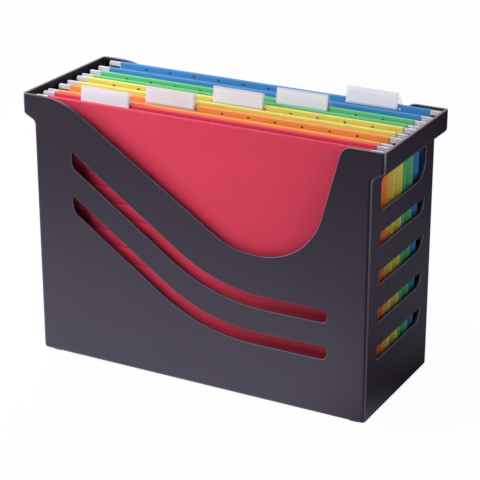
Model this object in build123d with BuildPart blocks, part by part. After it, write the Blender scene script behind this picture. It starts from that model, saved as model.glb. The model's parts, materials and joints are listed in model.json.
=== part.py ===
from build123d import *
import os
from math import atan2, cos, radians, tan

# A portable box for hanging files: one moulded tray with a rim, and five folding card
# files that hang by plastic bars on the rails inside its two ends. Millimetres, +Z up.
# X runs along the box, the swept-down front wall faces -Y, and Z is 0 where it stands.

# ---------------------------------------------------------------- box
rim_length = 357.0          # over the rim, the box's longest size
rim_overhang = 11.5         # how far the rim stands out past the body at each end
box_depth = 138.0
box_height = 252.0          # from the ground to the rim's top edge
wall = 2.5
floor_thickness = 2.5
foot_height = 1.5
foot_length = 11.0
foot_width = 9.0
foot_inset = 7.0            # from the body's end to a foot
foot_setback = 4.0          # from its front or rear face to a foot
corner_radius = 3.5         # outer vertical and bottom edges
ledge_drop = 19.5           # from the rim's top to the ledge under it, at the outer corner
ledge_fall = 6.0            # how much lower the ledge meets the body's end wall
ledge_bend_radius = 4.0
rail_drop = 7.0             # from the rim's top to the rails that carry the file bars
rail_root = 1.0             # how deep a rail is rooted in the wall below the ledge

# The front and rear walls are swept down between two points of the rim.
sweep_left = -136.3         # where the sloping line would meet the rim
sweep_slope = 33.0          # degrees below level, going right
sweep_drop = 112.3          # from the rim's top to the lowest stretch
sweep_right = 139.9         # where the steep line would meet the rim
sweep_steep = 75.0          # degrees
sweep_left_radius = 80.0
sweep_valley_radius = 70.0
sweep_bowl_radius = 61.0
sweep_right_radius = 10.0

# Two long slots follow the sweep in the front and rear walls.
slot_width = 12.5
slot_left = -127.5
slot_right = 129.0
slot_slope = 34.5           # degrees
slot_bend_radius = 160.0
slot_drops = [43.9, 78.7]   # from the sweep's lowest stretch to each slot's level middle
slot_bends = [19.4, 8.2]    # X where each slot's sloping and level lines would meet
slot_tip_radius = 0.6
slot_tail_radius = 9.0      # below the pointed left tip
slot_end_radius = 5.5

# The end walls have a hand hole under the rim and four narrow slots below it.
hole_length = 96.0
hole_drop = 30.0            # from the rim's top to the hand hole
hole_height = 29.0
vent_count = 4
vent_height = 12.5
vent_gap = 19.5             # from the hand hole down to the first slot
vent_pitch = 35.5
vent_front_radius = 3.0
hole_rear_radius = 18.0
vent_rear_radius = 11.0
hole_front_radius = 5.0
end_tip_radius = 0.6

# ---------------------------------------------------------------- files
file_names = ["red", "orange", "yellow", "green", "blue"]
# Y of each file's front bar and rear bar, as shares of half the box's depth
front_places = [-0.8638, -0.5826, -0.1348, 0.2232, 0.6406]
rear_places = [-0.6899, -0.3188, 0.1000, 0.4275, 0.9348]
file_slides = [0.73, 0.70, 1.0, 1.0, 1.0]    # how far right each has slid, as shares of its play
card_end_gap = 8.0          # from the card's side to the outside of the body's end
card_drop = 1.5             # from the rim's top to the card's top edge
card_thickness = 0.5
crease_height = 6.5         # height of the bottom fold's axis
knee_height = 26.0          # where the leaves start to lean in towards the fold
knee_radius = 8.0
fold_radius = 1.0           # the rolled bottom fold, on the rear leaf
fold_clearance = 0.15
hem_height = 14.0           # the top of each leaf is folded over its bar
bar_height = 11.0
bar_thickness = 1.4
bar_clearance = 0.1         # all round the bar, inside the hem
hook_play = 3.0             # how far a file can slide to either side of the middle
tip_clearance = 0.3         # from a bar's tip to the rim, at the end of that play
hook_clearance = 0.4        # from the hook's seat to the rail
hook_notch_inside = 6.6     # how far the hook's notch reaches in from the body's end
hook_leg_clearance = 0.6    # from the notch's outer side to the rail, at the end of the play
hook_tip_lean = 1.2         # how far the tip's outer edge leans in at the top
hook_tip_upright = 4.0      # the straight lower stretch of that edge
hook_corner_radius = 1.5
hook_seat_radius = 0.5      # small, so that the notch clears the rail wherever the file slides

# Short slots for the tabs run along each rear leaf and its bar.
tab_slot_count = 11
tab_slot_margin = 28.5      # from the card's side to the first slot's middle
tab_slot_length = 3.0
tab_slot_height = 2.0
tab_slot_drop = 4.0         # from the card's top edge to a slot's middle

# ---------------------------------------------------------------- tabs
tab_places = [1, 3, 5, 7, 9]    # the slot, counted from the left, that each tab is centred on
tab_width = 50.2
tab_rise = 11.0             # how far a tab stands above the card
tab_height = 15.5
tab_flare = 5.0             # how much wider the rear panel gets at its bottom, each side
sleeve_thickness = 1.6
sleeve_gap = 0.5            # the pocket for the label
panel_thickness = 0.6
tab_gap = 0.3               # from the hem to either panel, where they are nearest
tab_cap = 0.8               # thickness of the fold along the tab's top
sleeve_edge = 1.2           # the pocket's closed edges
prong_reach = 0.7           # how far a prong stands out past the panel's side
prong_width = 1.0
prong_height = 0.8
label_thickness = 0.3
label_clearance = 0.2       # round the label, inside the pocket

# ---------------------------------------------------------------- worked out
half_depth = box_depth / 2
inner_depth = box_depth - 2 * wall
rim_half = rim_length / 2
body_half = rim_half - rim_overhang
floor_top = foot_height + floor_thickness
ledge_outer = box_height - ledge_drop
ledge_inner = ledge_outer - ledge_fall
rail_top = box_height - rail_drop
sweep_low = box_height - sweep_drop
slot_levels = [sweep_low - drop for drop in slot_drops]
hole_top = box_height - hole_drop
hole_bottom = hole_top - hole_height
vent_tops = [hole_bottom - vent_gap - number * vent_pitch for number in range(vent_count)]
front_bars = [place * half_depth for place in front_places]
rear_bars = [place * half_depth for place in rear_places]
card_width = 2 * (body_half - card_end_gap)
card_top = box_height - card_drop
hem_thickness = bar_thickness + 2 * bar_clearance + 2 * card_thickness
hem_bottom = card_top - hem_height
hem_round = hem_thickness / 2 - bar_clearance
tab_slot_middle = card_top - tab_slot_drop
tab_slot_pitch = (card_width - 2 * tab_slot_margin) / (tab_slot_count - 1)
pocket_top = card_top - card_thickness
bar_top = pocket_top - bar_clearance
bar_bottom = bar_top - bar_height
bar_length = 2 * (rim_half - wall - tip_clearance - hook_play)
hook_seat = rail_top + hook_clearance
hook_notch_inner = body_half - hook_notch_inside
hook_notch_outer = body_half + hook_play + hook_leg_clearance
file_middles = [share * hook_play for share in file_slides]
tab_top = card_top + tab_rise
tab_bottom = tab_top - tab_height
tab_slope = (hem_thickness / 2 + tab_gap) / (tab_top - card_top + hem_round)
tab_spread = tab_slope * (tab_top - tab_bottom)


def outline(plane, corners):
    """A closed outline on a plane, from its corners as (x, y, radius)."""
    with BuildSketch(plane) as face:
        with BuildLine():
            FilletPolyline(
                *[(x, y) for x, y, radius in corners],
                radius=[radius for x, y, radius in corners],
                close=True,
            )
        make_face()
    return face.sketch


def box_outline(body_x, rim_x, bottom, ledge_low, ledge_high, bottom_radius):
    """Front view of the box: straight sides, a ledge and the wider rim."""
    right_side = [
        (body_x, bottom, bottom_radius),
        (body_x, ledge_low, ledge_bend_radius),
        (rim_x, ledge_high, ledge_bend_radius),
        (rim_x, box_height, 0),
    ]
    left_side = [(-x, z, radius) for x, z, radius in reversed(right_side)]
    return outline(Plane.XZ, right_side + left_side)


def sweep_outline():
    """What is taken out of the front and rear walls, from the lowest stretch upwards."""
    drop = box_height - sweep_low
    above = box_height + wall
    valley = sweep_left + drop / tan(radians(sweep_slope))
    bowl = sweep_right - drop / tan(radians(sweep_steep))
    far_left = sweep_left - sweep_left_radius
    far_right = sweep_right + sweep_right_radius
    corners = [
        (far_left, above, 0),
        (far_left, box_height, 0),
        (sweep_left, box_height, sweep_left_radius),
        (valley, sweep_low, sweep_valley_radius),
        (bowl, sweep_low, sweep_bowl_radius),
        (sweep_right, box_height, sweep_right_radius),
        (far_right, box_height, 0),
        (far_right, above, 0),
    ]
    return outline(Plane.XZ, corners)


def slot_outline(level, bend):
    """A slot of even width that slopes down to the right, then runs level."""
    half = slot_width / 2
    slope = radians(slot_slope)
    shift = half * tan(slope / 2)
    top_bend = (bend + shift, level + half)
    low_bend = (bend - shift, level - half)
    top_left = top_bend[1] + (top_bend[0] - slot_left) * tan(slope)
    low_left = low_bend[1] + (low_bend[0] - slot_left) * tan(slope)
    corners = [
        (slot_left, top_left, slot_tip_radius),
        (*top_bend, slot_bend_radius - half),
        (slot_right, level + half, slot_end_radius / 2),
        (slot_right, level - half, slot_end_radius),
        (*low_bend, slot_bend_radius + half),
        (slot_left, low_left, slot_tail_radius),
    ]
    return outline(Plane.XZ, corners)


def end_opening(top, bottom, front_radius, rear_radius):
    """An opening in the end walls, with a pointed top corner and a wide lower one at the rear."""
    half = hole_length / 2
    corners = [
        (-half, top, front_radius),
        (half, top, end_tip_radius),
        (half, bottom, rear_radius),
        (-half, bottom, front_radius),
    ]
    return outline(Plane.YZ, corners)


def rounded_block(front_view, depth, radius):
    """A block with this front view, its front and rear edges rounded except at the top."""
    with BuildPart() as block:
        extrude(front_view, amount=depth / 2, both=True)
        front_and_rear = block.faces().group_by(Axis.Y)
        sides = front_and_rear[0].edges() + front_and_rear[-1].edges()
        fillet(sides.filter_by(lambda edge: edge.center().Z < box_height - radius), radius=radius)
    return block.part


def make_box():
    """The tray: walls, floor, ledge, rim and rails in one moulding, with its openings and feet."""
    # The ledge keeps the wall's thickness, measured square to its slope.
    slope = atan2(ledge_outer - ledge_inner, rim_half - body_half)
    ledge_rise = wall / cos(slope) - wall * tan(slope)
    outside = box_outline(
        body_half, rim_half, foot_height, ledge_inner, ledge_outer, corner_radius
    )
    inside = box_outline(
        body_half - wall,
        rim_half - wall,
        floor_top,
        ledge_inner + ledge_rise,
        ledge_outer + ledge_rise,
        corner_radius - wall,
    )
    through = half_depth + wall
    with BuildPart() as box:
        add(rounded_block(outside, box_depth, corner_radius))
        add(rounded_block(inside, inner_depth, corner_radius - wall), mode=Mode.SUBTRACT)

        # rails for the file bars, standing up from the end walls inside the rim
        rail_height = rail_top - ledge_inner + rail_root
        with Locations(
            (body_half - wall / 2, 0, rail_top - rail_height / 2),
            (wall / 2 - body_half, 0, rail_top - rail_height / 2),
        ):
            Box(wall, inner_depth + wall, rail_height)

        # openings in the front and rear walls
        extrude(sweep_outline(), amount=through, both=True, mode=Mode.SUBTRACT)
        for level, bend in zip(slot_levels, slot_bends):
            extrude(slot_outline(level, bend), amount=through, both=True, mode=Mode.SUBTRACT)

        # openings in the end walls
        hand_hole = end_opening(hole_top, hole_bottom, hole_front_radius, hole_rear_radius)
        extrude(hand_hole, amount=rim_half, both=True, mode=Mode.SUBTRACT)
        for top in vent_tops:
            vent = end_opening(top, top - vent_height, vent_front_radius, vent_rear_radius)
            extrude(vent, amount=rim_half, both=True, mode=Mode.SUBTRACT)

        # feet moulded under the floor
        foot_x = body_half - foot_inset - foot_length / 2
        foot_y = half_depth - foot_setback - foot_width / 2
        with BuildSketch() as feet:
            with GridLocations(2 * foot_x, 2 * foot_y, 2, 2):
                RectangleRounded(foot_length, foot_width, foot_width / 3)
        extrude(amount=foot_height + floor_thickness / 2)
    return box.part


def make_leaf(middle, bar_y, crease_y, side):
    """One leaf of a file, hemmed over its bar; side is -1 for the front leaf, +1 for the rear."""
    end_plane = Plane.YZ.offset(middle)
    outer = bar_y + side * hem_thickness / 2
    inner = bar_y - side * hem_thickness / 2
    ply_y = outer - side * card_thickness / 2
    fold = (crease_y, crease_height)
    hem = [
        (outer, card_top, hem_round),
        (outer, hem_bottom, 0),
        (bar_y, hem_bottom, 0),
        (inner, hem_bottom + hem_thickness / 2, 0),
        (inner, card_top, hem_round),
    ]
    pocket_height = bar_height + 2 * bar_clearance
    with BuildPart() as leaf:
        extrude(outline(end_plane, hem), amount=card_width / 2, both=True)
        with BuildSketch(end_plane):
            with BuildLine():
                FilletPolyline((ply_y, hem_bottom), (ply_y, knee_height), fold, radius=knee_radius)
            trace(line_width=card_thickness)
            with Locations(fold):
                if side > 0:
                    Circle(fold_radius)
                else:
                    Circle(fold_radius + fold_clearance, mode=Mode.SUBTRACT)
        extrude(amount=card_width / 2, both=True)
        with Locations((middle, bar_y, pocket_top - pocket_height / 2)):
            Box(
                card_width,
                hem_thickness - 2 * card_thickness,
                pocket_height,
                mode=Mode.SUBTRACT,
            )
        if side > 0:
            extrude(tab_slots(middle, bar_y), amount=hem_thickness, both=True, mode=Mode.SUBTRACT)
    return leaf.part


def tab_slots(middle, bar_y):
    """The row of slots that goes through a rear leaf and its bar."""
    with BuildSketch(Plane.XZ.offset(-bar_y)) as slots:
        with Locations((middle, tab_slot_middle)):
            with GridLocations(tab_slot_pitch, 1, tab_slot_count, 1):
                SlotOverall(tab_slot_length, tab_slot_height)
    return slots.sketch


def make_bar(middle, bar_y, slotted):
    """A flat bar with a hook at each end, notched from below to hang on a rail."""
    half = bar_length / 2
    leg_radius = 0.4 * (half - hook_notch_outer)
    right_end = [
        (half - hook_tip_lean, bar_top, hook_corner_radius),
        (half, bar_bottom + hook_tip_upright, 0),
        (half, bar_bottom, leg_radius),
        (hook_notch_outer, bar_bottom, leg_radius),
        (hook_notch_outer, hook_seat, hook_seat_radius),
        (hook_notch_inner, hook_seat, hook_seat_radius),
        (hook_notch_inner, bar_bottom, hook_corner_radius),
    ]
    left_end = [(-x, z, radius) for x, z, radius in reversed(right_end)]
    corners = [(middle + x, z, radius) for x, z, radius in right_end + left_end]
    with BuildPart() as bar:
        side_view = outline(Plane.XZ.offset(-bar_y), corners)
        extrude(side_view, amount=bar_thickness / 2, both=True)
        if slotted:
            extrude(tab_slots(middle, bar_y), amount=hem_thickness, both=True, mode=Mode.SUBTRACT)
    return bar.part


def tab_centre(middle, place):
    """X of a tab that is centred on this slot of the row."""
    return middle + (place - (tab_slot_count - 1) / 2) * tab_slot_pitch


def sleeve_slice(bar_y, inset, thickness, low, high, half):
    """A slice of a tab's front panel: how far it lies inside the panel, and its heights."""
    corners = [
        (bar_y - depth - tab_slope * (tab_top - z), z, 0)
        for depth, z in ((inset, low), (inset, high), (inset + thickness, high), (inset + thickness, low))
    ]
    with BuildPart() as panel:
        extrude(outline(Plane.YZ, corners), amount=half, both=True)
    return panel.part


def rear_panel(bar_y):
    """The panel behind the hem, wider at its bottom."""
    half = tab_width / 2
    end_view = [
        (bar_y, tab_top, 0),
        (bar_y + tab_spread, tab_bottom, 0),
        (bar_y + tab_spread + panel_thickness, tab_bottom, 0),
        (bar_y + panel_thickness, tab_top, 0),
    ]
    back_view = [
        (-half, tab_top, 0),
        (-half - tab_flare, tab_bottom, 0),
        (half + tab_flare, tab_bottom, 0),
        (half, tab_top, 0),
    ]
    with BuildPart() as panel:
        extrude(outline(Plane.YZ, end_view), amount=half + tab_flare, both=True)
        extrude(
            outline(Plane.XZ.offset(-bar_y), back_view),
            amount=tab_spread + 2 * panel_thickness,
            both=True,
            mode=Mode.INTERSECT,
        )
    return panel.part


def make_tab(bar_y, centre):
    """A folded clear tab: a sleeve in front of the hem, a flared panel behind it, two prongs."""
    half = tab_width / 2
    low = tab_bottom + sleeve_edge
    high = tab_top - sleeve_edge - tab_cap
    pocket_inset = (sleeve_thickness - sleeve_gap) / 2
    with BuildPart() as tab:
        with Locations((centre, 0, 0)):
            add(rear_panel(bar_y))
            add(sleeve_slice(bar_y, 0, sleeve_thickness, tab_bottom, tab_top, half))

        # the fold along the top
        fold_y = bar_y + (panel_thickness - sleeve_thickness) / 2
        with Locations((centre, fold_y, tab_top - tab_cap / 2)):
            Box(tab_width, sleeve_thickness + panel_thickness, tab_cap)

        # the label's pocket, open at its right end
        with Locations((centre + sleeve_edge, 0, 0)):
            add(sleeve_slice(bar_y, pocket_inset, sleeve_gap, low, high, half), mode=Mode.SUBTRACT)

        # prongs that pass through the tab slots
        prong_start = bar_y - tab_spread - sleeve_thickness / 2
        prong_end = bar_y + hem_thickness / 2
        prong_x = half + prong_reach - prong_width / 2
        with Locations((centre, (prong_start + prong_end) / 2, tab_slot_middle)):
            with GridLocations(2 * prong_x, 1, 2, 1):
                Box(prong_width, prong_end - prong_start, prong_height)
    return tab.part


def make_label(bar_y, centre):
    """The paper strip inside the tab's sleeve."""
    inset = (sleeve_thickness - label_thickness) / 2
    low = tab_bottom + sleeve_edge + label_clearance
    high = tab_top - sleeve_edge - tab_cap - label_clearance
    half = tab_width / 2 - sleeve_edge - label_clearance
    with BuildPart() as label:
        with Locations((centre, 0, 0)):
            add(sleeve_slice(bar_y, inset, label_thickness, low, high, half))
    return label.part


def save(part, name):
    part.label = name
    export_step(part, f"parts/{name}.step")


os.makedirs("parts", exist_ok=True)
save(make_box(), "box")
for name, middle, front_y, rear_y, place in zip(
    file_names, file_middles, front_bars, rear_bars, tab_places
):
    crease_y = (front_y + rear_y) / 2
    centre = tab_centre(middle, place)
    save(make_leaf(middle, front_y, crease_y, -1), f"{name}_front_leaf")
    save(make_leaf(middle, rear_y, crease_y, 1), f"{name}_rear_leaf")
    save(make_bar(middle, front_y, False), f"{name}_front_bar")
    save(make_bar(middle, rear_y, True), f"{name}_rear_bar")
    save(make_tab(rear_y, centre), f"{name}_tab")
    save(make_label(rear_y, centre), f"{name}_label")
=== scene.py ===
import json
from math import acos, cos, degrees, pi, radians, sin, tan

import bmesh
import bpy
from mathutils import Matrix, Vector, noise


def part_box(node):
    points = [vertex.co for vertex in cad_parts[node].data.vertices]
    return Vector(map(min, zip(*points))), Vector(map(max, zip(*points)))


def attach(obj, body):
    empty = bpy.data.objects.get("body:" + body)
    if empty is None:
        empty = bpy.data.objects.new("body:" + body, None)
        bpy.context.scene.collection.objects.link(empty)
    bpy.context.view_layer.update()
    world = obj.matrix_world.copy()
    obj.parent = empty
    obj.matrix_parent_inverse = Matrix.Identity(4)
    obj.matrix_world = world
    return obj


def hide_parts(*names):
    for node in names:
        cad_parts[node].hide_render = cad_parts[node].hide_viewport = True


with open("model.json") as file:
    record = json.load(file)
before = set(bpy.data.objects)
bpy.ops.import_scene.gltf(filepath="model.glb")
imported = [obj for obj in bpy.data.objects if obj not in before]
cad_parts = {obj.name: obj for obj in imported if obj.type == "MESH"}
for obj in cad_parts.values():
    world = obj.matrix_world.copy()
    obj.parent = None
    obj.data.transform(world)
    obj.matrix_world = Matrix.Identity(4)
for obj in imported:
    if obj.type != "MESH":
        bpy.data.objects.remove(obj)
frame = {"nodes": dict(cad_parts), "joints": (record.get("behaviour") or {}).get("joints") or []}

# Looks for the hanging-file box: a moulded tray and five card files on plastic bars.
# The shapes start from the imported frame, in metres, +Z up, front towards -Y.
mm = 0.001
scene = bpy.context.scene
nodes = frame["nodes"]
fileNames = ["red", "orange", "yellow", "green", "blue"]
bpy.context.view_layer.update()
print("frame loaded with", len(nodes), "CAD nodes")


def linear(hexCode):
    # sRGB hex to the linear colour that a shader takes
    channels = [int(hexCode[i:i + 2], 16) / 255 for i in (1, 3, 5)]
    return [c / 12.92 if c <= 0.04045 else ((c + 0.055) / 1.055) ** 2.4 for c in channels] + [1.0]


def addNode(tree, kind, inputs=None, **settings):
    # inputs are values or other nodes' output sockets, by socket name or number
    node = tree.nodes.new(kind)
    for name, value in settings.items():
        setattr(node, name, value)
    for key, value in (inputs or {}).items():
        if isinstance(value, bpy.types.NodeSocket):
            tree.links.new(value, node.inputs[key])
        else:
            node.inputs[key].default_value = value
    return node


def newMaterial(name):
    material = bpy.data.materials.new(name)
    material.use_nodes = True
    material.node_tree.nodes.clear()
    return material, material.node_tree


def noiseAt(tree, place, size, detail=2.0):
    # noise whose features are about this size, in metres
    texture = addNode(tree, "ShaderNodeTexNoise", {"Vector": place, "Scale": 1 / size, "Detail": detail})
    return texture.outputs["Fac"]


def spread(tree, value, low, high):
    # noise sits between about 0.3 and 0.7, and this brings it to low..high
    return addNode(
        tree,
        "ShaderNodeMapRange",
        {"Value": value, "From Min": 0.3, "From Max": 0.7, "To Min": low, "To Max": high},
    ).outputs["Result"]


def blendColours(tree, share, first, second):
    mix = addNode(tree, "ShaderNodeMix", {0: share, 6: first, 7: second}, data_type="RGBA")
    return mix.outputs[2]


trayFinish = {
    "colour": "#211827",
    "paler": "#261d2c",
    # the painted highlight on the rounded edges and the corner band
    "highlightColour": "#6b6570",
    "cloudSize": 90 * mm,
    "grainSize": 0.9 * mm,
    "grainDepth": 0.03 * mm,
    "smoothest": 0.40,
    "roughest": 0.52,
    "gloss": 0.42,
}


def mouldedPolystyrene(finish):
    # High-impact polystyrene from a spark-eroded mould: a dark satin with a fine, even grain.
    # The real grain is about 0.1 mm, and it is drawn coarser so that it shows.
    # The thin rounded edges, and a band round the vertical corners, are painted paler: a painted
    # highlight and a painted reflection where a satin gloss would catch the light.
    material, tree = newMaterial("mouldedPolystyrene")
    place = addNode(tree, "ShaderNodeTexCoord").outputs["Object"]
    clouds = noiseAt(tree, place, finish["cloudSize"])
    grain = noiseAt(tree, place, finish["grainSize"], detail=3.0)
    colour = blendColours(
        tree, spread(tree, clouds, 0.0, 1.0), linear(finish["colour"]), linear(finish["paler"])
    )
    # painted highlight: paler colour where the edges and corners would catch the light
    paintedHighlight = addNode(tree, "ShaderNodeAttribute", attribute_name="paintedHighlight").outputs["Fac"]
    colour = blendColours(tree, paintedHighlight, colour, linear(finish["highlightColour"]))
    bump = addNode(
        tree, "ShaderNodeBump", {"Height": grain, "Distance": finish["grainDepth"], "Strength": 0.6}
    )
    shader = addNode(
        tree,
        "ShaderNodeBsdfPrincipled",
        {
            "Base Color": colour,
            "Roughness": spread(tree, grain, finish["smoothest"], finish["roughest"]),
            "IOR": 1.55,
            "Specular IOR Level": finish["gloss"],
            "Normal": bump.outputs["Normal"],
        },
    )
    addNode(tree, "ShaderNodeOutputMaterial", {"Surface": shader.outputs["BSDF"]})
    return material


cardFinish = {
    "colours": {
        "red": "#dc3a57",
        "orange": "#f4974d",
        "yellow": "#e4d468",
        "green": "#62bd7e",
        "blue": "#4088c4",
    },
    "mottleSize": 26 * mm,
    "fibreSize": 0.8 * mm,
    "fibreStretch": 3.0,
    "fibreDepth": 0.02 * mm,
    "smoothest": 0.50,
    "roughest": 0.66,
    "gloss": 0.25,
    "mottleShade": 0.93,    # the mottle's darkest, as a share of the colour
    # a score's darkest is a painted shade, for the shade in its groove
    "creasePaintedShade": 0.08,    # and a score's
}


def dyedCard(name, finish):
    # Manilla card dyed right through, with short fibres lying mostly along the sheet.
    # A score is painted darker, a painted shade standing in for the shade in its shallow groove.
    material, tree = newMaterial(name + "DyedCard")
    pure = linear(finish["colours"][name])
    dark = [c * finish["mottleShade"] for c in pure[:3]] + [1.0]
    # painted shade along the scores
    scoreShade = [c * finish["creasePaintedShade"] for c in pure[:3]] + [1.0]
    place = addNode(tree, "ShaderNodeTexCoord").outputs["Object"]
    along = addNode(
        tree,
        "ShaderNodeMapping",
        {"Vector": place, "Scale": (1 / finish["fibreStretch"], 1.0, 1.0)},
    ).outputs["Vector"]
    mottle = noiseAt(tree, place, finish["mottleSize"])
    fibres = noiseAt(tree, along, finish["fibreSize"], detail=4.0)
    both = addNode(
        tree, "ShaderNodeMath", {0: spread(tree, mottle, 0.0, 0.5), 1: spread(tree, fibres, 0.0, 0.5)}
    ).outputs[0]
    crease = addNode(tree, "ShaderNodeAttribute", attribute_name="crease").outputs["Fac"]
    colour = blendColours(tree, both, dark, pure)
    # painted shade where the sheet is scored
    colour = blendColours(tree, crease, colour, scoreShade)
    bump = addNode(
        tree, "ShaderNodeBump", {"Height": fibres, "Distance": finish["fibreDepth"], "Strength": 0.5}
    )
    shader = addNode(
        tree,
        "ShaderNodeBsdfPrincipled",
        {
            "Base Color": colour,
            "Roughness": spread(tree, fibres, finish["smoothest"], finish["roughest"]),
            "Specular IOR Level": finish["gloss"],
            "Normal": bump.outputs["Normal"],
        },
    )
    addNode(tree, "ShaderNodeOutputMaterial", {"Surface": shader.outputs["BSDF"]})
    return material


barFinish = {
    "colour": "#dbd8e1",
    "greyer": "#d2cfd9",
    "cloudSize": 14 * mm,
    "grainSize": 0.7 * mm,
    "grainDepth": 0.015 * mm,
    "smoothest": 0.34,
    "roughest": 0.46,
}


def mouldedPolypropylene(finish):
    # Natural white polypropylene, waxy, with soft flow clouds from the mould
    material, tree = newMaterial("mouldedPolypropylene")
    place = addNode(tree, "ShaderNodeTexCoord").outputs["Object"]
    clouds = noiseAt(tree, place, finish["cloudSize"])
    grain = noiseAt(tree, place, finish["grainSize"], detail=3.0)
    colour = blendColours(
        tree, spread(tree, clouds, 0.0, 1.0), linear(finish["colour"]), linear(finish["greyer"])
    )
    bump = addNode(
        tree, "ShaderNodeBump", {"Height": grain, "Distance": finish["grainDepth"], "Strength": 0.5}
    )
    shader = addNode(
        tree,
        "ShaderNodeBsdfPrincipled",
        {
            "Base Color": colour,
            "Roughness": spread(tree, grain, finish["smoothest"], finish["roughest"]),
            "IOR": 1.49,
            "Normal": bump.outputs["Normal"],
        },
    )
    addNode(tree, "ShaderNodeOutputMaterial", {"Surface": shader.outputs["BSDF"]})
    return material


tabFinish = {
    "colour": "#e2e2ea",
    "rippleSize": 9 * mm,
    "rippleDepth": 0.02 * mm,
    "smoothest": 0.10,
    "roughest": 0.22,
    "haze": 0.06,           # share of light that one face of the clear sheet holds back
    "frost": 0.72,          # and the front of the welded border
}


def clearPolyester(finish):
    # Folded clear polyester sheet: see-through and glossy, with slight ripples and a faint haze.
    # Its welded borders are frosted, and the "frost" attribute says where.
    material, tree = newMaterial("clearPolyester")
    place = addNode(tree, "ShaderNodeTexCoord").outputs["Object"]
    ripples = noiseAt(tree, place, finish["rippleSize"])
    bump = addNode(
        tree, "ShaderNodeBump", {"Height": ripples, "Distance": finish["rippleDepth"], "Strength": 0.5}
    )
    frost = addNode(tree, "ShaderNodeAttribute", attribute_name="frost").outputs["Fac"]
    alpha = addNode(
        tree,
        "ShaderNodeMapRange",
        {"Value": frost, "To Min": finish["haze"], "To Max": finish["frost"]},
    ).outputs["Result"]
    # the haze scatters light forwards, so the sheet throws no shadow on the label behind it
    shadow = addNode(tree, "ShaderNodeLightPath").outputs["Is Shadow Ray"]
    alpha = addNode(tree, "ShaderNodeMix", {0: shadow, 2: alpha, 3: 0.0}).outputs[0]
    shader = addNode(
        tree,
        "ShaderNodeBsdfPrincipled",
        {
            "Base Color": linear(finish["colour"]),
            "Roughness": spread(tree, ripples, finish["smoothest"], finish["roughest"]),
            "IOR": 1.57,
            "Alpha": alpha,
            "Normal": bump.outputs["Normal"],
        },
    )
    addNode(tree, "ShaderNodeOutputMaterial", {"Surface": shader.outputs["BSDF"]})
    return material


labelFinish = {
    "colour": "#dfdde5",
    "greyer": "#d6d4dd",
    "fibreSize": 0.5 * mm,
    "fibreDepth": 0.01 * mm,
}


def uncoatedPaper(finish):
    # Plain white label paper, matt, with a fine fibre
    material, tree = newMaterial("uncoatedPaper")
    place = addNode(tree, "ShaderNodeTexCoord").outputs["Object"]
    fibres = noiseAt(tree, place, finish["fibreSize"], detail=4.0)
    colour = blendColours(
        tree, spread(tree, fibres, 0.0, 1.0), linear(finish["colour"]), linear(finish["greyer"])
    )
    bump = addNode(
        tree, "ShaderNodeBump", {"Height": fibres, "Distance": finish["fibreDepth"], "Strength": 0.4}
    )
    shader = addNode(
        tree,
        "ShaderNodeBsdfPrincipled",
        {"Base Color": colour, "Roughness": 0.8, "Normal": bump.outputs["Normal"]},
    )
    addNode(tree, "ShaderNodeOutputMaterial", {"Surface": shader.outputs["BSDF"]})
    return material


trayPlastic = mouldedPolystyrene(trayFinish)
barPlastic = mouldedPolypropylene(barFinish)
tabPlastic = clearPolyester(tabFinish)
labelPaper = uncoatedPaper(labelFinish)
cards = {name: dyedCard(name, cardFinish) for name in fileNames}
print("materials made:", len(bpy.data.materials))


def newObject(name, mesh, material):
    piece = bpy.data.objects.new(name, mesh)
    scene.collection.objects.link(piece)
    piece.data.materials.clear()
    piece.data.materials.append(material)
    return piece


def evaluated(piece):
    # the piece with its modifiers turned into a plain mesh
    graph = bpy.context.evaluated_depsgraph_get()
    graph.update()
    mesh = bpy.data.meshes.new_from_object(
        piece.evaluated_get(graph), preserve_all_data_layers=True, depsgraph=graph
    )
    piece.modifiers.clear()
    piece.data = mesh
    return piece


def smoothShaded(mesh, sharpAngle):
    mesh.polygons.foreach_set("use_smooth", [True] * len(mesh.polygons))
    mesh.set_sharp_from_angle(angle=radians(sharpAngle))


copyMake = {
    "joinDistance": 0.001 * mm,
    "edgeSegments": 2,
    "flatAngle": 0.2,       # degrees between triangles of one flat face
    "sharpAngle": 35.0,     # edges turn more than this, and round stretches turn less
    "smoothAngle": 50.0,    # between neighbouring narrow faces that shade as one
    "broadFace": 2.1 * mm,  # a flat face is wider than this
}


def cadCopy(nodeName, pieceName, material, edgeRadius):
    # a merged copy of a CAD node with its flat faces joined and its edges slightly rounded
    shape = bmesh.new()
    shape.from_mesh(nodes[nodeName].data)
    bmesh.ops.remove_doubles(shape, verts=shape.verts, dist=copyMake["joinDistance"])
    bmesh.ops.dissolve_limit(
        shape,
        angle_limit=radians(copyMake["flatAngle"]),
        verts=shape.verts,
        edges=shape.edges,
    )
    mesh = bpy.data.meshes.new(pieceName)
    shape.to_mesh(mesh)
    shape.free()
    piece = newObject(pieceName, mesh, material)
    smoothShaded(mesh, copyMake["sharpAngle"])
    bevel = piece.modifiers.new("roundedEdges", "BEVEL")
    bevel.width = edgeRadius
    bevel.segments = copyMake["edgeSegments"]
    bevel.limit_method = "ANGLE"
    bevel.angle_limit = radians(copyMake["sharpAngle"])
    bevel.use_clamp_overlap = False
    return piece


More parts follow.
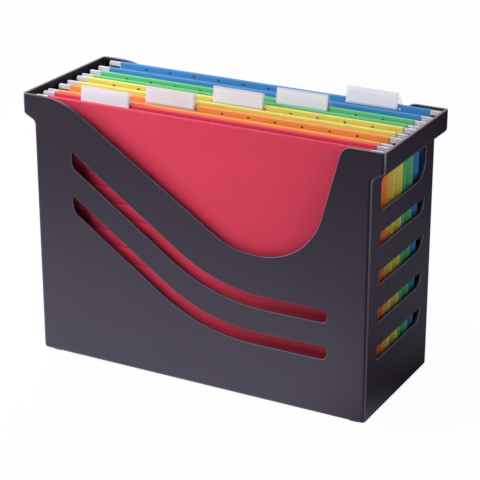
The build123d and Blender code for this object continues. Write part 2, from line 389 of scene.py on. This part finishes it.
def settledNormals(mesh):
    # Broad flat faces keep their own normal right up to their edges, and the narrow faces
    # that round an edge or a corner turn smoothly away from it. Faces of many sides are cut
    # into triangles once their widths are known.
    shape = bmesh.new()
    shape.from_mesh(mesh)
    mark = shape.faces.layers.int.new("broad")
    for face in shape.faces:
        around = sum(edge.calc_length() for edge in face.edges)
        face[mark] = int(2 * face.calc_area() / around > copyMake["broadFace"])
    bmesh.ops.triangulate(shape, faces=[face for face in shape.faces if len(face.verts) > 4])
    shape.to_mesh(mesh)
    shape.free()
    faces = mesh.polygons
    broad = [item.value for item in mesh.attributes["broad"].data]
    mesh.attributes.remove(mesh.attributes["broad"])
    around = [[] for vert in mesh.vertices]
    for face in faces:
        for vert in face.vertices:
            around[vert].append(face.index)
    limit = cos(radians(copyMake["smoothAngle"]))
    normals = [None] * len(mesh.loops)
    for face in faces:
        for corner, vert in zip(face.loop_indices, face.vertices):
            near = [i for i in around[vert] if faces[i].normal.dot(face.normal) > limit]
            chosen = [face.index] if broad[face.index] else [i for i in near if broad[i]] or near
            total = sum((faces[i].normal for i in chosen), Vector())
            normals[corner] = total.normalized() if total.length else face.normal
    faces.foreach_set("use_smooth", [True] * len(faces))
    mesh.normals_split_custom_set(normals)


def paintHighlights(piece, band):
    # The new faces of the rounded edges take a second material number, and this turns it into
    # an attribute that the material reads as a painted highlight. A band round each corner beside
    # the front and the back gets a fainter painted reflection too.
    piece.data.materials.append(piece.data.materials[0])
    piece.modifiers["roundedEdges"].material = 1
    evaluated(piece)
    faces = piece.data.polygons
    marks = []
    for face in faces:
        turn = degrees(acos(min(1.0, abs(face.normal.y))))
        inBand = band["from"] < turn < band["to"] and abs(face.normal.x) > band["sideways"]
        marks.append(1.0 if face.material_index else band["share"] if inBand else 0.0)
        face.material_index = 0
    piece.data.attributes.new("paintedHighlight", "FLOAT", "FACE").data.foreach_set("value", marks)
    piece.data.materials.pop()
    settledNormals(piece.data)


def finishPiece(piece, body, slotName, *replaced):
    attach(piece, body)
    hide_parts(*replaced)


# The tray is one moulding. Its edges are rounded here, and get a painted highlight.
trayMake = {
    "edgeRadius": 0.36 * mm,
    # degrees round from the front, and how far a face in the painted reflection band turns sideways at
    # least
    "cornerReflection": {"from": 40, "to": 75, "sideways": 0.15, "share": 0.45},
}
tray = cadCopy("box", "mouldedTray", trayPlastic, trayMake["edgeRadius"])
paintHighlights(tray, trayMake["cornerReflection"])
finishPiece(tray, "box", "box_plastic", "box")
print("tray made")

# The card leaves are thin sheets, folded round their bars and scored or slotted.
leafMake = {
    "thickness": 0.5 * mm,
    "hemHalf": 1.05 * mm,       # from the bar's middle to the middle of either ply
    "hemBend": 1.3 * mm,        # from the top edge to the bend's centre
    "pocketDrop": 11.9 * mm,    # from the top edge to where the inner ply turns in
    "glueDrop": 14.6 * mm,      # and to where it meets the outer ply
    "flapDrop": 21.0 * mm,      # and to the flap's lower edge
    "plyDrop": 8.0 * mm,        # and to a row of either ply under the slots
    "plyStep": 0.52 * mm,       # between two plies that are glued together
    "kneeHeight": 26.0 * mm,
    "kneeRadius": 8.0 * mm,
    "rollRadius": 0.75 * mm,    # middle of the sheet, round the bottom fold
    "rollTurn": 190.0,          # degrees that the rear leaf's roll goes under the axis
    "foldGap": 1.25 * mm,       # from the fold's axis to the front leaf's lower edge
    "bendSteps": 8,             # in the hem's bend and in the roll
    "kneeSteps": 4,
    "slopeSteps": 3,
    "rowStep": 7.0 * mm,
    "columnStep": 8.7 * mm,
    "kneeClear": 3.0 * mm,      # from the last plain row to the knee
    "waveHeight": 0.30 * mm,
    "waveLength": 95 * mm,
    "waveSeed": 7.3,            # how far apart two leaves' waves are drawn
    "waveDrops": {"front": 38.0 * mm, "rear": 31.0 * mm},   # the glued hem is flat down to here
    "seedOffset": 0.25,         # between a file's number and either leaf's seed
    "sharpAngle": 40.0,
    "creaseFirst": 104.0 * mm,
    "creasePitch": 14.0 * mm,
    "creaseCount": 6,
    "creaseHalf": 0.40 * mm,
    "creaseDepth": 0.10 * mm,
    "creaseEnd": -30.0 * mm,    # X where the lowest scores fade out
    "creaseFade": 8.0 * mm,
    "creaseLean": 0.5,          # how much sooner the higher ones do
    "creaseClear": 2.0 * mm,    # from a score to the nearest plain row
    "creaseWander": 0.35 * mm,
    "wanderLength": 22 * mm,
    "wanderSeed": 91,
    "bowWidth": 340 * mm,
    "bowMiddle": 20 * mm,
    "frontBows": {              # how far each front leaf bows out of its file, or into it
        "red": 2.2 * mm,
        "orange": -0.6 * mm,
        "yellow": 0.8 * mm,
        "green": -0.5 * mm,
        "blue": 0.7 * mm,
    },
    "rearBow": 0.4 * mm,
    "slotCount": 11,
    "slotMargin": 28.5 * mm,    # from the card's side to the first slot's middle
    "slotLength": 3.0 * mm,
    "slotHeight": 2.0 * mm,
    "slotDrop": 4.0 * mm,
    "slotCorner": 0.3 * mm,
    "prongReach": (20 * mm, 30 * mm),   # between these, a slot takes one of the tab's prongs
    "prongRoom": 3.0 * mm,      # a column this near a prong's slot belongs to it
}


def evenly(start, end, step):
    # values from start up to but not including end, at about this step
    count = max(1, round(abs(end - start) / step))
    return [start + (end - start) * i / count for i in range(count)]


def roundedCorner(before, corner, after, radius, steps):
    # points of the arc that rounds a corner of a path
    back = (before - corner).normalized()
    ahead = (after - corner).normalized()
    half = back.angle(ahead) / 2
    reach = radius / tan(half)
    centre = corner + (back + ahead).normalized() * (radius / sin(half))
    start = corner + back * reach - centre
    end = corner + ahead * reach - centre
    return [centre + start.lerp(end, i / steps).normalized() * radius for i in range(steps + 1)]


def leafRows(barY, creaseY, creaseZ, top, side):
    # The sheet's middle line in the YZ plane, as (point, kind), from the glued flap's lower
    # edge up round the bar and down to the bottom fold.
    s = leafMake
    slotLevels = [top - s["slotDrop"] + share * s["slotHeight"] / 2 for share in (1, 0, -1)]
    outer = barY + side * s["hemHalf"]
    inner = barY - side * s["hemHalf"]
    glued = outer - side * s["plyStep"]
    rows = [((glued, top - s["flapDrop"]), ""), ((glued, top - s["glueDrop"]), "")]
    rows += [((inner, top - s["pocketDrop"]), ""), ((inner, top - s["plyDrop"]), "")]
    rows += [((inner, z), "slot") for z in reversed(slotLevels)]
    bendZ = top - s["hemBend"]
    for i in range(s["bendSteps"] + 1):
        turn = pi * i / s["bendSteps"]
        rise = (s["hemBend"] - s["thickness"] / 2) * sin(turn)
        rows.append(((barY - side * s["hemHalf"] * cos(turn), bendZ + rise), ""))
    rows += [((outer, z), "slot") for z in slotLevels]
    rows += [((outer, top - s["plyDrop"]), ""), ((outer, top - s["glueDrop"]), "")]

    # straight down, with three rows at each score
    knee = Vector((outer, s["kneeHeight"]))
    axis = Vector((creaseY, creaseZ))
    scores = [s["creaseFirst"] + n * s["creasePitch"] for n in range(s["creaseCount"])]
    plain = evenly(top - s["flapDrop"], s["kneeHeight"] + s["kneeClear"], s["rowStep"])
    if side < 0:
        plain = [z for z in plain if min(abs(z - c) for c in scores) > s["creaseClear"]]
    levels = [(z, "") for z in plain]
    if side < 0:
        for c in scores:
            levels += [(c + s["creaseHalf"], ""), (c, "crease"), (c - s["creaseHalf"], "")]
    rows += [((outer, z), kind) for z, kind in sorted(levels, reverse=True)]

    # the knee, then the slope to the fold
    down = (axis - knee).normalized()
    outward = Vector((-down.y, down.x))
    if outward.x * side < 0:
        outward = -outward
    foot = axis + outward * s["rollRadius"] if side > 0 else axis - down * s["foldGap"]
    bend = roundedCorner(Vector((outer, top)), knee, foot, s["kneeRadius"], s["kneeSteps"])
    rows += [(tuple(point), "") for point in bend]
    for i in range(1, s["slopeSteps"] + 1):
        rows.append((tuple(bend[-1].lerp(foot, i / s["slopeSteps"])), ""))
    if side > 0:
        # rolled under the axis, round to the front leaf
        for i in range(1, s["bendSteps"] + 1):
            turn = radians(s["rollTurn"]) * i / s["bendSteps"]
            spoke = outward * cos(turn) + down * sin(turn)
            rows.append((tuple(axis + spoke * s["rollRadius"]), ""))
    return rows


def slotMiddles(left, right):
    s = leafMake
    pitch = (right - left - 2 * s["slotMargin"]) / (s["slotCount"] - 1)
    return [left + s["slotMargin"] + n * pitch for n in range(s["slotCount"])]


def leafColumns(left, right):
    s = leafMake
    edges = [
        (x + share * s["slotLength"] / 2, share)
        for x in slotMiddles(left, right)
        for share in (-1, 0, 1)
    ]
    stops = [(left, None)] + edges + [(right, None)]
    columns = []
    for (x, share), (nextX, nextShare) in zip(stops, stops[1:]):
        columns.append((x, share))
        if not (share in (-1, 0) and nextShare in (0, 1)):
            columns += [(between, None) for between in evenly(x, nextX, s["columnStep"])[1:]]
    return columns + [(right, None)]


def leafPoint(x, share, y, z, kind, leaf):
    # where a point of the sheet lies once it is waved, bowed or scored, and how scored it is
    s = leafMake
    place = Vector((x, y, z))
    rise = z - (leaf["top"] - s["slotDrop"])
    if kind == "slot" and share in (-1, 1) and abs(rise) > s["slotHeight"] / 4:
        # a slot's corners are cut, so that it has rounded ends
        place.x -= share * s["slotCorner"]
        place.z -= s["slotCorner"] if rise > 0 else -s["slotCorner"]
    if s["kneeHeight"] < z < leaf["waveTop"]:
        # the free part of the leaf is very slightly wavy, and bows
        room = leaf["top"] - s["flapDrop"] - s["kneeHeight"]
        swell = sin(pi * (z - s["kneeHeight"]) / room)
        spot = Vector((x / s["waveLength"], z / s["waveLength"], leaf["seed"] * s["waveSeed"]))
        bow = leaf["side"] * leaf["bow"] * cos(2 * pi * (x - s["bowMiddle"]) / s["bowWidth"])
        place.y += s["waveHeight"] * 2 * swell * noise.noise(spot)
        place.y += swell * bow
    scored = 0.0
    if kind == "crease":
        end = s["creaseEnd"] - s["creaseLean"] * (z - s["creaseFirst"])
        scored = min(1.0, max(0.0, (end - x) / s["creaseFade"]))
        place.y -= leaf["side"] * s["creaseDepth"] * scored
        spot = Vector((x / s["wanderLength"], z * s["wanderSeed"], leaf["seed"]))
        place.z += s["creaseWander"] * noise.noise(spot)
    return place, scored


def leafSheet(name, rows, columns, leaf):
    # the sheet's middle surface, open where the slots are
    mesh = bmesh.new()
    crease = mesh.verts.layers.float.new("crease")
    grid = []
    for (y, z), kind in rows:
        line = []
        for x, share in columns:
            place, scored = leafPoint(x, share, y, z, kind, leaf)
            vert = mesh.verts.new(place)
            vert[crease] = scored
            line.append(vert)
        grid.append(line)
    for i in range(len(rows) - 1):
        slotted = leaf["side"] > 0 and rows[i][1] == rows[i + 1][1] == "slot"
        frontPly = rows[i][0][0] < leaf["barY"]
        for j in range(len(columns) - 1):
            inSlot = columns[j][1] in (-1, 0) and columns[j + 1][1] in (0, 1)
            # the ply behind the bar is cut only where a tab's prongs go through it
            near = any(abs(columns[j][0] - x) < leafMake["prongRoom"] for x in leaf["pronged"])
            if not (slotted and inSlot and (frontPly or near)):
                mesh.faces.new((grid[i][j], grid[i][j + 1], grid[i + 1][j + 1], grid[i + 1][j]))
    data = bpy.data.meshes.new(name)
    mesh.to_mesh(data)
    mesh.free()
    return data


def leafPiece(colour, word, side, seed, bow, pronged):
    # one leaf as a thin solid, round its own bar and down to the file's fold
    low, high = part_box(f"{colour}_{word}_leaf")
    barLow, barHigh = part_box(f"{colour}_{word}_bar")
    barY = (barLow.y + barHigh.y) / 2
    creaseY, creaseZ = joints[f"{colour}_file_open"]["pos_m"][1:]
    leaf = {
        "side": side,
        "seed": seed,
        "bow": bow,
        "pronged": pronged,
        "top": high.z,
        "waveTop": high.z - leafMake["waveDrops"][word],
        "barY": barY,
    }
    rows = leafRows(barY, creaseY, creaseZ, high.z, side)
    name = f"{colour}{word.title()}Leaf"
    data = leafSheet(name, rows, leafColumns(low.x, high.x), leaf)
    piece = newObject(name, data, cards[colour])
    sheet = piece.modifiers.new("sheetThickness", "SOLIDIFY")
    sheet.thickness = leafMake["thickness"]
    sheet.offset = 0.0
    evaluated(piece)
    smoothShaded(piece.data, leafMake["sharpAngle"])
    return piece


joints = {joint["name"]: joint for joint in frame["joints"]}
nearest, farthest = leafMake["prongReach"]
offset = leafMake["seedOffset"]
for fileNumber, colour in enumerate(fileNames):
    tabLow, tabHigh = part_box(f"{colour}_tab")
    tabMiddle = (tabLow.x + tabHigh.x) / 2
    leafLow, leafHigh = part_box(f"{colour}_rear_leaf")
    slots = slotMiddles(leafLow.x, leafHigh.x)
    pronged = [x for x in slots if nearest < abs(x - tabMiddle) < farthest]
    front = leafPiece(colour, "front", -1, fileNumber - offset, leafMake["frontBows"][colour], pronged)
    finishPiece(front, f"{colour}_file_front", f"{colour}_card", f"{colour}_front_leaf")
    rear = leafPiece(colour, "rear", 1, fileNumber + offset, leafMake["rearBow"], pronged)
    finishPiece(rear, f"{colour}_file", f"{colour}_card", f"{colour}_rear_leaf")
print("card leaves made")

# The bars have fine ribs on their hooks.
barMake = {
    "edgeRadius": 0.18 * mm,
    "ribCount": 3,
    "ribPitch": 1.5 * mm,
    "ribLength": 11.0 * mm,
    "ribHeight": 0.7 * mm,
    "ribProud": 0.22 * mm,
    "ribDrop": 1.1 * mm,        # from the bar's top to the first rib's middle
    "ribInset": 7.2 * mm,       # from the bar's tip to the ribs' middle
}


def ribTree():
    # rows of half-round ribs, one row below each point of the mesh
    tree = bpy.data.node_groups.new("hookRibs", "GeometryNodeTree")
    face = tree.interface
    face.new_socket(name="Geometry", in_out="INPUT", socket_type="NodeSocketGeometry")
    for name, kind in (
        ("Rib count", "NodeSocketInt"),
        ("Rib pitch", "NodeSocketFloat"),
        ("Rib length", "NodeSocketFloat"),
        ("Rib height", "NodeSocketFloat"),
        ("Rib proud", "NodeSocketFloat"),
        ("Material", "NodeSocketMaterial"),
    ):
        face.new_socket(name=name, in_out="INPUT", socket_type=kind)
    face.new_socket(name="Geometry", in_out="OUTPUT", socket_type="NodeSocketGeometry")
    given = addNode(tree, "NodeGroupInput").outputs

    def maths(operation, first, second):
        return addNode(tree, "ShaderNodeMath", {0: first, 1: second}, operation=operation).outputs[0]

    halfLength = maths("MULTIPLY", given["Rib length"], 0.5)
    start = addNode(tree, "ShaderNodeCombineXYZ", {"X": maths("MULTIPLY", halfLength, -1.0)})
    end = addNode(tree, "ShaderNodeCombineXYZ", {"X": halfLength})
    line = addNode(
        tree, "GeometryNodeCurvePrimitiveLine", {"Start": start.outputs[0], "End": end.outputs[0]}
    )
    ring = addNode(
        tree,
        "GeometryNodeCurvePrimitiveCircle",
        {"Resolution": 10, "Radius": maths("MULTIPLY", given["Rib height"], 0.5)},
    )
    rib = addNode(
        tree,
        "GeometryNodeCurveToMesh",
        {"Curve": line.outputs[0], "Profile Curve": ring.outputs[0], "Fill Caps": True},
    )
    flatten = maths("DIVIDE", maths("MULTIPLY", given["Rib proud"], 2.0), given["Rib height"])
    shape = addNode(tree, "ShaderNodeCombineXYZ", {"X": 1.0, "Y": flatten, "Z": 1.0})
    flatRib = addNode(
        tree, "GeometryNodeTransform", {"Geometry": rib.outputs[0], "Scale": shape.outputs[0]}
    )
    step = addNode(tree, "ShaderNodeCombineXYZ", {"Z": maths("MULTIPLY", given["Rib pitch"], -1.0)})
    row = addNode(
        tree, "GeometryNodeMeshLine", {"Count": given["Rib count"], "Offset": step.outputs[0]}
    )
    rowOfRibs = addNode(
        tree, "GeometryNodeInstanceOnPoints", {"Points": row.outputs[0], "Instance": flatRib.outputs[0]}
    )
    placed = addNode(
        tree,
        "GeometryNodeInstanceOnPoints",
        {"Points": given["Geometry"], "Instance": rowOfRibs.outputs[0]},
    )
    real = addNode(tree, "GeometryNodeRealizeInstances", {"Geometry": placed.outputs[0]})
    done = addNode(
        tree, "GeometryNodeSetMaterial", {"Geometry": real.outputs[0], "Material": given["Material"]}
    )
    addNode(tree, "NodeGroupOutput", {0: done.outputs[0]})
    return tree


def ribbed(bar, low, high, tree):
    # ribs on both faces of both hooks, joined to the bar's mesh
    s = barMake
    mesh = bpy.data.meshes.new("ribPlaces")
    mesh.from_pydata(
        [
            (x, y, high.z - s["ribDrop"])
            for x in (low.x + s["ribInset"], high.x - s["ribInset"])
            for y in (low.y, high.y)
        ],
        [],
        [],
    )
    places = newObject("ribPlaces", mesh, barPlastic)
    modifier = places.modifiers.new("ribs", "NODES")
    modifier.node_group = tree
    values = {
        "Rib count": s["ribCount"],
        "Rib pitch": s["ribPitch"],
        "Rib length": s["ribLength"],
        "Rib height": s["ribHeight"],
        "Rib proud": s["ribProud"],
        "Material": barPlastic,
    }
    for socket in tree.interface.items_tree:
        if socket.name in values:
            modifier[socket.identifier] = values[socket.name]
    evaluated(places)
    evaluated(bar)
    joined = bmesh.new()
    joined.from_mesh(bar.data)
    joined.from_mesh(places.data)
    joined.to_mesh(bar.data)
    joined.free()
    settledNormals(bar.data)
    bpy.data.objects.remove(places)


ribs = ribTree()
for colour in fileNames:
    for word, body in (("front", f"{colour}_file_front"), ("rear", f"{colour}_file")):
        barNode = f"{colour}_{word}_bar"
        bar = cadCopy(barNode, f"{colour}{word.title()}Bar", barPlastic, barMake["edgeRadius"])
        ribbed(bar, *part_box(barNode), ribs)
        finishPiece(bar, body, "bar_plastic", barNode)
print("bars made")

# The tabs are clear sleeves, and their labels are the frame's own strips with a paper finish.
tabMake = {
    "edgeRadius": 0.12 * mm,
    "backRoom": 0.6 * mm,       # from the label's back to the room between the two panels
    "labelLap": 0.5 * mm,       # how far the frosted border laps over the label
    "veil": 0.15,               # how frosted the rear panel is, as a share of the border
    "facing": 0.5,              # how squarely a frosted face looks forwards, at least
}


def frostedBorder(tab, low, high):
    # Cuts the sleeve's faces just inside the label's edges, from low to high, and marks the
    # sleeve's front outside the cuts, and the rear panel more faintly.
    lap = Vector((tabMake["labelLap"], 0, tabMake["labelLap"]))
    low, high = low + lap, high - lap
    shape = bmesh.new()
    shape.from_mesh(tab.data)
    for corner in (low, high):
        for way in (Vector((1, 0, 0)), Vector((0, 0, 1))):
            parts = shape.verts[:] + shape.edges[:] + shape.faces[:]
            bmesh.ops.bisect_plane(shape, geom=parts, plane_co=corner, plane_no=way)
    frost = shape.faces.layers.float.new("frost")
    for face in shape.faces:
        middle = face.calc_center_median()
        beside = not (low.x < middle.x < high.x and low.z < middle.z < high.z)
        behind = middle.y > high.y + tabMake["backRoom"]
        face[frost] = tabMake["veil"] if behind else float(beside and face.normal.y < -tabMake["facing"])
    shape.to_mesh(tab.data)
    shape.free()


for colour in fileNames:
    tab = cadCopy(f"{colour}_tab", f"{colour}Tab", tabPlastic, tabMake["edgeRadius"])
    frostedBorder(evaluated(tab), *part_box(f"{colour}_label"))
    settledNormals(tab.data)
    finishPiece(tab, f"{colour}_file", "clear_plastic", f"{colour}_tab")
    label = nodes[f"{colour}_label"]
    label.data.materials.clear()
    label.data.materials.append(labelPaper)
print("tabs made")

# Floor, light and camera
studio = {
    "floorSize": 12.0,
    "floorColour": "#d0d0d0",
    "floorWhiteness": 0.96,     # share of plain white that the floor shows to the camera
    "worldStrength": 0.05,
    "worldShine": 0.03,         # how bright the surroundings look in a gloss
    # soft pools of light on the floor that only a gloss shows, before the front and the end
    "poolColour": "#e9e3fb",
    "frontPool": {
        "middle": (-0.17, -0.15, 0.0), "stretch": (0.6, 0.8, 1.0),
        "near": 0.15, "far": 0.255, "shine": 2.1,
    },
    "endPool": {
        "middle": (0.30, 0.28, 0.0), "stretch": (1.0, 1.0, 1.0),
        "near": 0.12, "far": 0.30, "shine": 0.28,
    },
}


def softPool(tree, place, s):
    offset = addNode(
        tree, "ShaderNodeVectorMath", {0: place, 1: s["middle"]}, operation="SUBTRACT"
    ).outputs[0]
    offset = addNode(
        tree, "ShaderNodeVectorMath", {0: offset, 1: s["stretch"]}, operation="MULTIPLY"
    ).outputs[0]
    distance = addNode(tree, "ShaderNodeVectorMath", {0: offset}, operation="LENGTH").outputs["Value"]
    return addNode(
        tree,
        "ShaderNodeMapRange",
        {
            "Value": distance,
            "From Min": s["near"],
            "From Max": s["far"],
            "To Min": s["shine"],
            "To Max": 0.0,
        },
        interpolation_type="SMOOTHSTEP",
    ).outputs["Result"]


def paleFloor(s):
    # A pale floor that keeps the shadow and shows as white to the camera and through glass.
    material, tree = newMaterial("paleFloor")
    rays = addNode(tree, "ShaderNodeLightPath").outputs
    seen = addNode(
        tree, "ShaderNodeMath", {0: rays["Is Camera Ray"], 1: rays["Is Glossy Ray"]}, operation="MAXIMUM"
    ).outputs[0]
    seen = addNode(
        tree, "ShaderNodeMath", {0: seen, 1: rays["Is Transmission Ray"]}, operation="MAXIMUM"
    ).outputs[0]
    share = addNode(tree, "ShaderNodeMath", {0: seen, 1: s["floorWhiteness"]}, operation="MULTIPLY")
    place = addNode(tree, "ShaderNodeTexCoord").outputs["Object"]
    pools = addNode(
        tree,
        "ShaderNodeMath",
        {0: softPool(tree, place, s["frontPool"]), 1: softPool(tree, place, s["endPool"])},
        operation="MAXIMUM",
    ).outputs[0]
    glossy = rays["Is Glossy Ray"]
    strength = addNode(tree, "ShaderNodeMix", {0: glossy, 2: 1.0, 3: pools}).outputs[0]
    tint = blendColours(tree, glossy, (1, 1, 1, 1), linear(s["poolColour"]))
    plain = addNode(
        tree,
        "ShaderNodeBsdfPrincipled",
        {"Base Color": linear(s["floorColour"]), "Roughness": 0.9, "Specular IOR Level": 0.1},
    )
    white = addNode(tree, "ShaderNodeEmission", {"Color": tint, "Strength": strength})
    mixed = addNode(
        tree,
        "ShaderNodeMixShader",
        {0: share.outputs[0], 1: plain.outputs[0], 2: white.outputs[0]},
    )
    addNode(tree, "ShaderNodeOutputMaterial", {"Surface": mixed.outputs[0]})
    return material


floorMesh = bpy.data.meshes.new("floor")
reach = studio["floorSize"] / 2
floorMesh.from_pydata(
    [(-reach, -reach, 0), (reach, -reach, 0), (reach, reach, 0), (-reach, reach, 0)],
    [],
    [(0, 1, 2, 3)],
)
floor = newObject("floor", floorMesh, paleFloor(studio))


def whiteWorld(s):
    # White to the camera and through glass, with little light of its own for the object.
    world = bpy.data.worlds.new("studioWhite")
    world.use_nodes = True
    tree = world.node_tree
    tree.nodes.clear()
    rays = addNode(tree, "ShaderNodeLightPath").outputs
    seen = addNode(
        tree,
        "ShaderNodeMath",
        {0: rays["Is Camera Ray"], 1: rays["Is Transmission Ray"]},
        operation="MAXIMUM",
    ).outputs[0]
    shine = addNode(
        tree,
        "ShaderNodeMapRange",
        {"Value": rays["Is Glossy Ray"], "To Min": s["worldStrength"], "To Max": s["worldShine"]},
    ).outputs["Result"]
    strength = addNode(tree, "ShaderNodeMath", {0: seen, 1: shine}, operation="MAXIMUM").outputs[0]
    sky = addNode(tree, "ShaderNodeBackground", {"Color": (1, 1, 1, 1), "Strength": strength})
    addNode(tree, "ShaderNodeOutputWorld", {"Surface": sky.outputs[0]})
    return world


scene.world = whiteWorld(studio)

# Three soft lamps from the left, a small one from the right, one level with the holes in the
# end wall, which lights the cards behind them, and one from behind.
lamps = {
    "frontLeft": {"place": (-0.90, -0.40, 0.90), "aim": (0, 0, 0.12), "size": 0.6, "watts": 15.9},
    "hardLeft": {"place": (-1.00, -0.35, 0.80), "aim": (0, 0, 0.12), "size": 0.3, "watts": 6.0},
    "lowLeft": {"place": (-1.05, -0.27, 0.42), "aim": (0, 0, 0.12), "size": 0.5, "watts": 6.8},
    "right": {"place": (0.60, -0.20, 0.50), "aim": (0.18, 0, 0.15), "size": 0.15, "watts": 1.1},
    "lowRight": {"place": (0.52, -0.12, 0.26), "aim": (0.18, 0, 0.15), "size": 0.15, "watts": 0.56},
    "back": {"place": (-0.60, 1.10, 1.00), "aim": (0, 0, 0.12), "size": 1.0, "watts": 11.0},
}
for name, s in lamps.items():
    light = bpy.data.lights.new(name, "AREA")
    light.energy = s["watts"]
    light.size = s["size"]
    lamp = bpy.data.objects.new(name, light)
    scene.collection.objects.link(lamp)
    lamp.location = s["place"]
    lamp.rotation_euler = (Vector(s["aim"]) - Vector(s["place"])).to_track_quat("-Z", "Y").to_euler()

cameraSetup = {
    "place": (0.70947, -1.31029, 0.71661),
    "turn": 28.18,
    "dip": 21.87,
    "lens": 131.3,
    "sensor": 36.0,
}
cameraData = bpy.data.cameras.new("camera")
cameraData.sensor_width = cameraSetup["sensor"]
cameraData.lens = cameraSetup["lens"]
camera = bpy.data.objects.new("camera", cameraData)
scene.collection.objects.link(camera)
camera.location = cameraSetup["place"]
camera.rotation_euler = (radians(90 - cameraSetup["dip"]), 0, radians(cameraSetup["turn"]))
scene.camera = camera
scene.view_settings.view_transform = "Standard"
print("studio made")
